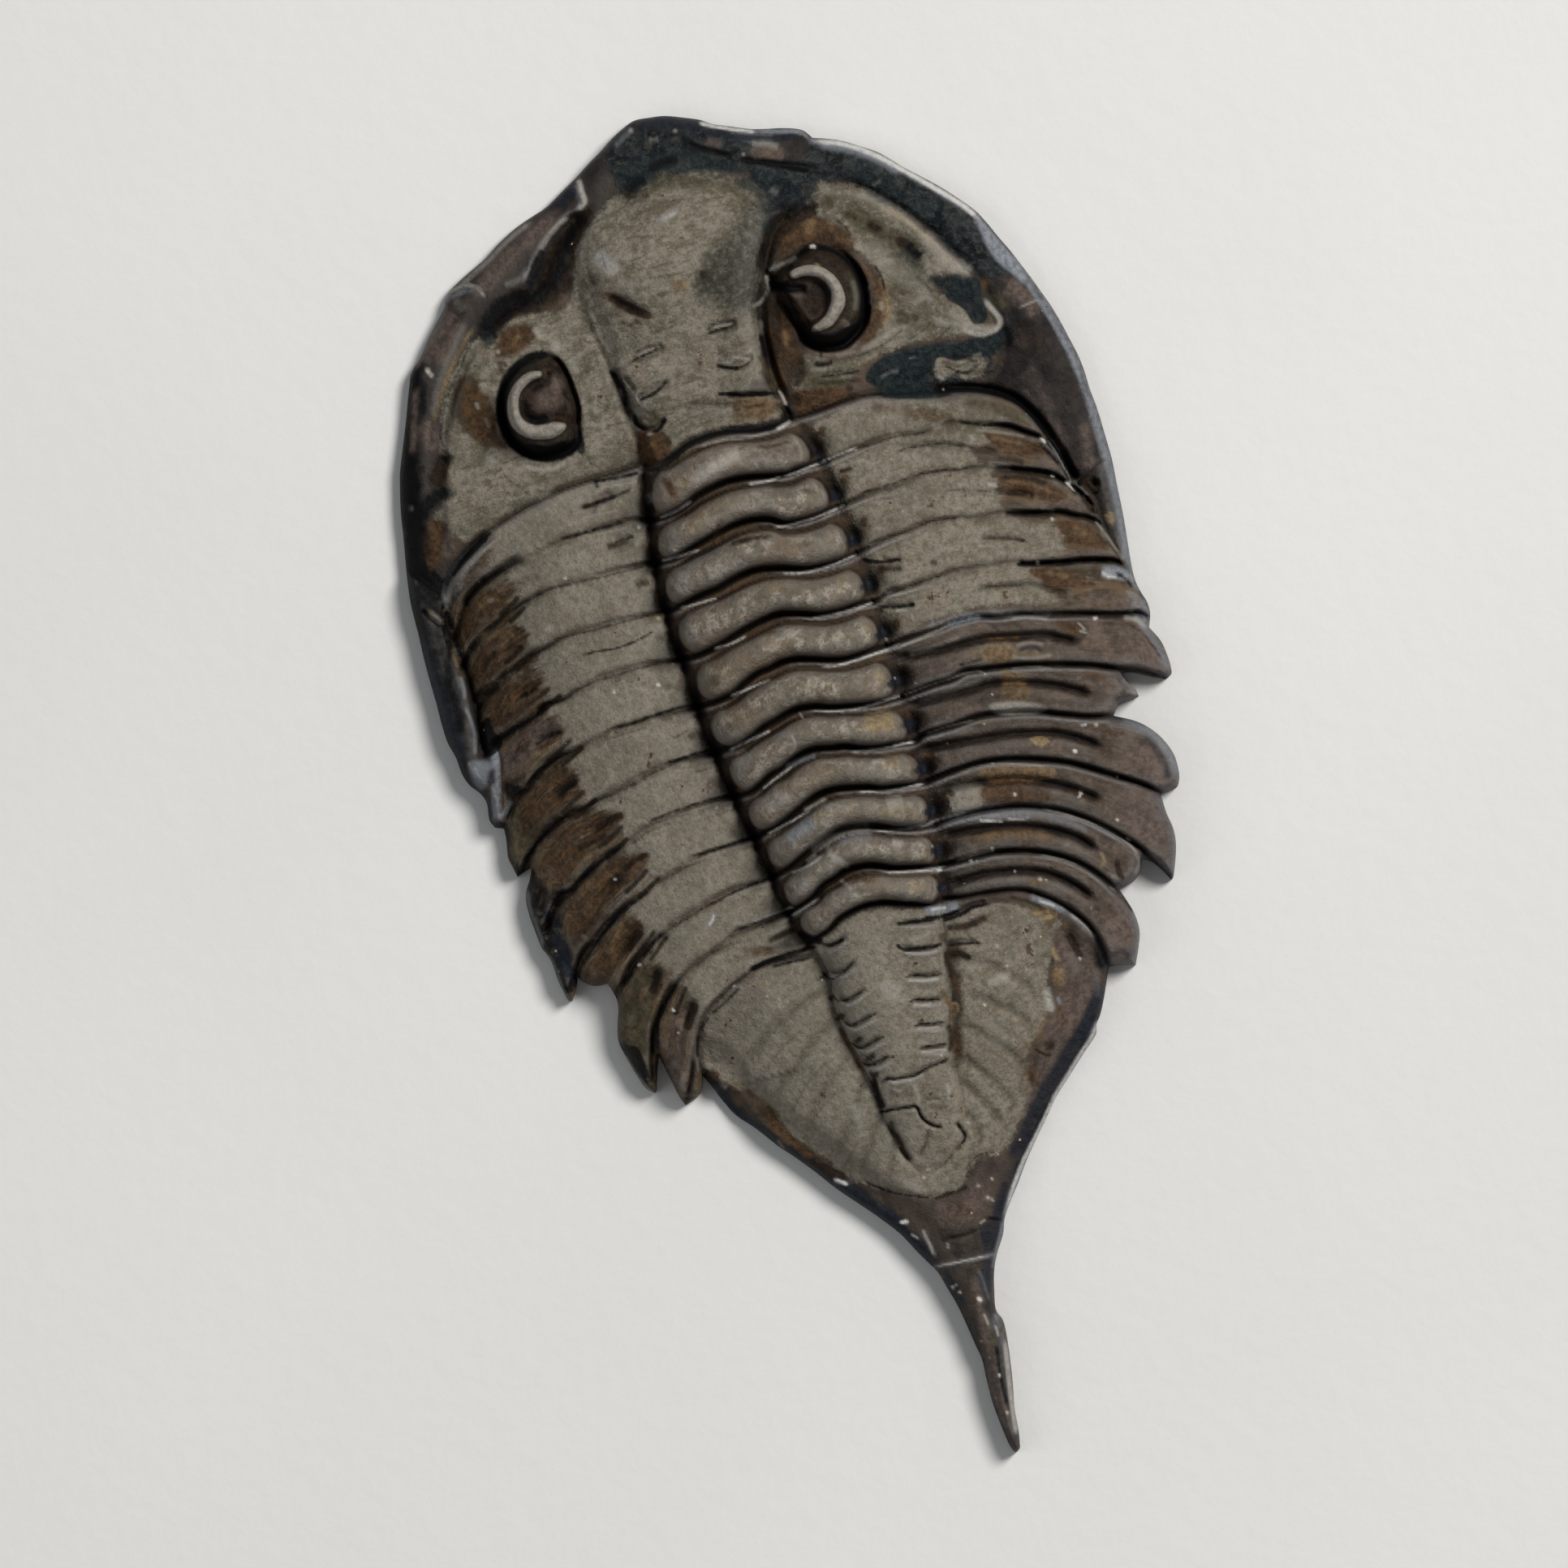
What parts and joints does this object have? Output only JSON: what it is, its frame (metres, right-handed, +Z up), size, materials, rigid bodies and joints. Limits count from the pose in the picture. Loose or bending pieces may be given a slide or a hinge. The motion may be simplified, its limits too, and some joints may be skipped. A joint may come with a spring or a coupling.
{
  "type": "dalmanites trilobite fossil",
  "caption": "Loose fossil trilobite lying flat: head shield with two raised eyes, ringed thorax with side ribs, and a triangular tail plate ending in a spine.",
  "frame": {"origin": "middle of the bounding box, on the flat underside that the fossil rests on", "axes": "+Z up out of the back of the fossil, +Y along the body towards the head, +X to the right side of the body seen from above with the head away"},
  "size_m": [0.0356, 0.0682, 0.0084],
  "materials": {
    "fossil": "polished brown shell under a thin matte olive-grey film"
  },
  "bodies": {
    "root": {"trilobite": "fossil"}
  },
  "joints": []
}
